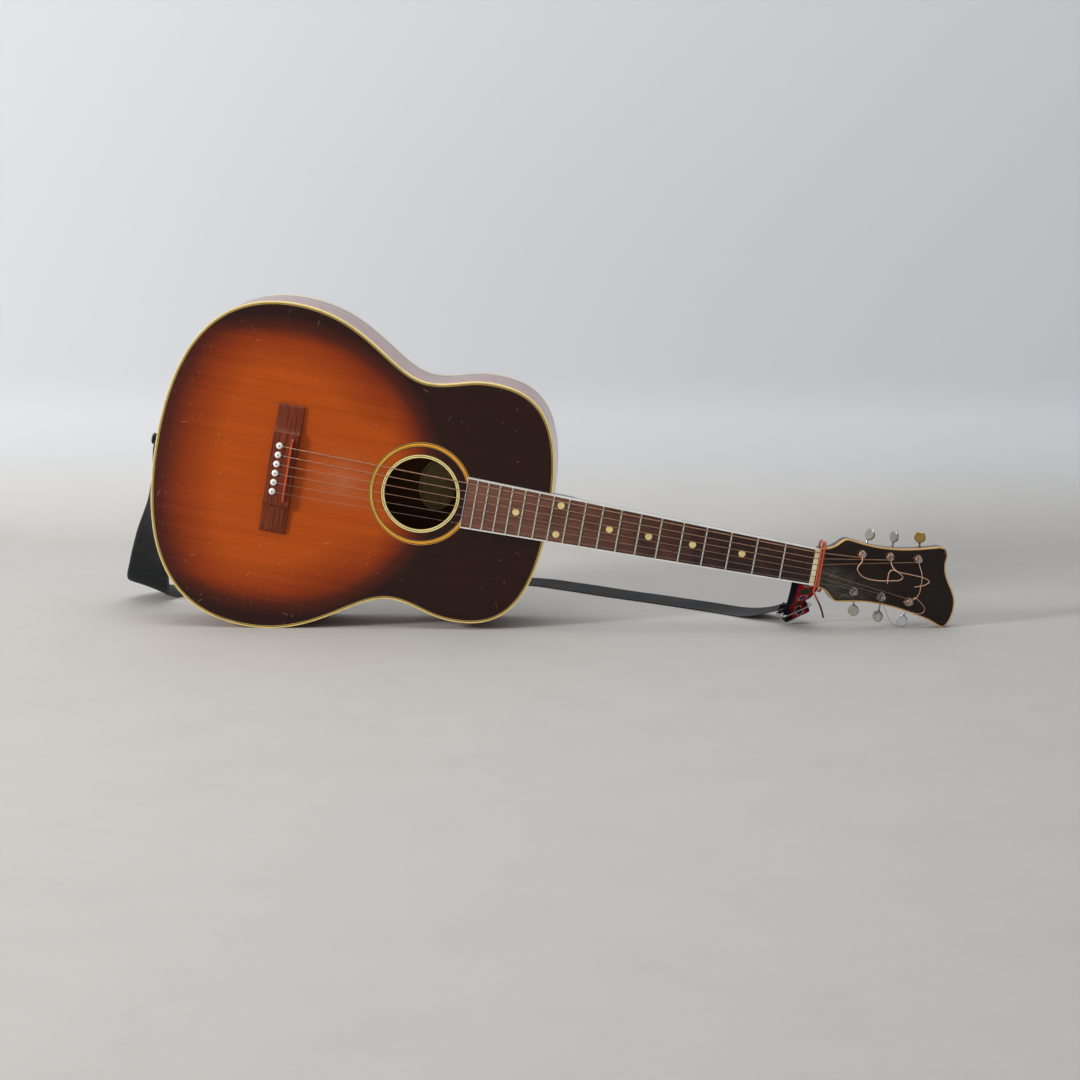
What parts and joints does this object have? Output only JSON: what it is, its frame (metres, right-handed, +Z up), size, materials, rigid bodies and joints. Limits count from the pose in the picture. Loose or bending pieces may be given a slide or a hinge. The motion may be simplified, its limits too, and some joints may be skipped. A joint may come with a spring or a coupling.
{
  "type": "acoustic guitar",
  "caption": "Worn steel-string acoustic guitar lying on its side, with turning tuners, curled loose string ends, a chipped headstock and a strap tied on with cord.",
  "frame": {"origin": "on the floor, under the middle of the overall box of guitar and strap", "axes": "+X along the guitar from tail to head, +Y from the strings towards the back, +Z up"},
  "size_m": [1.0271, 0.3848, 0.393],
  "materials": {
    "top_wood": "glossy sunburst varnish, worn and scratched",
    "body_wood": "glossy dark red-brown varnish",
    "inner_wood": "bare sanded wood",
    "neck_wood": "dark varnish, worn",
    "board_wood": "oiled dark wood, dry and worn",
    "bridge_wood": "oiled dark red-brown wood",
    "cream_plastic": "yellowed cream",
    "black_plastic": "black",
    "rosette_plastic": "amber and black lines",
    "label_paper": "old bare paper",
    "saddle_bone": "stained orange-red",
    "pin_plastic": "white with dark eyes",
    "head_face": "black lacquer, scuffed and chipped",
    "head_edge": "orange-cream, chipped",
    "board_edge": "off-white",
    "fret_metal": "worn nickel silver with a green tinge",
    "dot_plastic": "cream",
    "nut_bone": "worn bone",
    "machine_metal": "dull nickel, corroded",
    "knob_nickel": "worn nickel",
    "knob_bright": "bright nickel",
    "knob_brass": "bare brass, tarnished",
    "wound_metal": "copper-coloured winding",
    "plain_metal": "dull steel",
    "webbing": "black woven band",
    "woven_band": "patterned weave",
    "slider_metal": "dull nickel wire",
    "cord_fibre": "orange cord with a dark end"
  },
  "bodies": {
    "guitar": {"soundboard": "top_wood", "back": "body_wood", "side_bass": "body_wood", "side_treble": "body_wood", "linings": "inner_wood", "neck_block": "inner_wood", "tail_block": "inner_wood", "top_braces": "inner_wood", "back_braces": "inner_wood", "bridge_plate": "inner_wood", "top_binding": "cream_plastic", "back_binding": "cream_plastic", "purfling": "black_plastic", "rosette": "rosette_plastic", "sound_hole_ring": "cream_plastic", "label": "label_paper", "bridge": "bridge_wood", "saddle": "saddle_bone", "bridge_pins": "pin_plastic", "end_pin": "black_plastic", "neck": "neck_wood", "heel_cap": "cream_plastic", "head_veneer": "head_face", "head_binding": "head_edge", "fretboard": "board_wood", "fretboard_binding": "board_edge", "frets": "fret_metal", "fret_dots": "dot_plastic", "nut": "nut_bone", "tuner_plates": "machine_metal", "plate_screws": "machine_metal", "post_bushings": "machine_metal", "string_1": "wound_metal", "string_2": "wound_metal", "string_3": "wound_metal", "string_4": "wound_metal", "string_5": "plain_metal", "string_6": "plain_metal", "strap": "webbing", "strap_slider": "slider_metal", "woven_strap": "woven_band", "tie_cord": "cord_fibre"},
    "knob_1": {"tuner_knob_1": "knob_nickel"},
    "post_1": {"tuner_post_1": "machine_metal", "string_end_1": "wound_metal"},
    "knob_2": {"tuner_knob_2": "knob_nickel"},
    "post_2": {"tuner_post_2": "machine_metal", "string_end_2": "wound_metal"},
    "knob_3": {"tuner_knob_3": "knob_brass"},
    "post_3": {"tuner_post_3": "machine_metal", "string_end_3": "wound_metal"},
    "knob_4": {"tuner_knob_4": "knob_bright"},
    "post_4": {"tuner_post_4": "machine_metal", "string_end_4": "wound_metal"},
    "knob_5": {"tuner_knob_5": "knob_nickel"},
    "post_5": {"tuner_post_5": "machine_metal", "string_end_5": "plain_metal"},
    "knob_6": {"tuner_knob_6": "knob_nickel"},
    "post_6": {"tuner_post_6": "machine_metal", "string_end_6": "plain_metal"}
  },
  "joints": [
    {"name": "knob_1_turn", "type": "hinge", "parent": "guitar", "child": "knob_1", "pos_m": [0.40113, -0.14743, 0.09249], "axis": [0.3692, 0.0538, 0.9278], "continuous": true},
    {"name": "post_1_turn", "type": "hinge", "parent": "guitar", "child": "post_1", "pos_m": [0.39852, -0.16664, 0.09465], "axis": [0.2548, -0.9659, -0.0454], "continuous": true, "deforming": ["string_end_1"]},
    {"name": "knob_2_turn", "type": "hinge", "parent": "guitar", "child": "knob_2", "pos_m": [0.43571, -0.13818, 0.08979], "axis": [0.1753, 0, 0.9845], "continuous": true},
    {"name": "post_2_turn", "type": "hinge", "parent": "guitar", "child": "post_2", "pos_m": [0.43264, -0.15744, 0.09034], "axis": [0.2548, -0.9659, -0.0454], "continuous": true, "deforming": ["string_end_2"]},
    {"name": "knob_3_turn", "type": "hinge", "parent": "guitar", "child": "knob_3", "pos_m": [0.46995, -0.129, 0.08659], "axis": [0.0412, -0.036, 0.9985], "continuous": true},
    {"name": "post_3_turn", "type": "hinge", "parent": "guitar", "child": "post_3", "pos_m": [0.46675, -0.14824, 0.08603], "axis": [0.2548, -0.9659, -0.0454], "continuous": true, "deforming": ["string_end_3"]},
    {"name": "knob_4_turn", "type": "hinge", "parent": "guitar", "child": "knob_4", "pos_m": [0.45951, -0.1292, 0.0324], "axis": [-0.3059, -0.036, -0.9514], "continuous": true},
    {"name": "post_4_turn", "type": "hinge", "parent": "guitar", "child": "post_4", "pos_m": [0.45671, -0.14845, 0.03403], "axis": [0.2548, -0.9659, -0.0454], "continuous": true, "deforming": ["string_end_4"]},
    {"name": "knob_5_turn", "type": "hinge", "parent": "guitar", "child": "knob_5", "pos_m": [0.42627, -0.13839, 0.04121], "axis": [-0.1753, 0, -0.9845], "continuous": true},
    {"name": "post_5_turn", "type": "hinge", "parent": "guitar", "child": "post_5", "pos_m": [0.4232, -0.15765, 0.04176], "axis": [0.2548, -0.9659, -0.0454], "continuous": true, "deforming": ["string_end_5"]},
    {"name": "knob_6_turn", "type": "hinge", "parent": "guitar", "child": "knob_6", "pos_m": [0.39289, -0.14761, 0.05006], "axis": [-0.0412, 0.036, -0.9985], "continuous": true},
    {"name": "post_6_turn", "type": "hinge", "parent": "guitar", "child": "post_6", "pos_m": [0.38969, -0.16685, 0.04949], "axis": [0.2548, -0.9659, -0.0454], "continuous": true, "deforming": ["string_end_6"]}
  ],
  "couplings": [
    {"joint": "post_1_turn", "follows": "knob_1_turn", "ratio": 0.071429},
    {"joint": "post_2_turn", "follows": "knob_2_turn", "ratio": 0.071429},
    {"joint": "post_3_turn", "follows": "knob_3_turn", "ratio": 0.071429},
    {"joint": "post_4_turn", "follows": "knob_4_turn", "ratio": 0.071429},
    {"joint": "post_5_turn", "follows": "knob_5_turn", "ratio": 0.071429},
    {"joint": "post_6_turn", "follows": "knob_6_turn", "ratio": 0.071429}
  ]
}
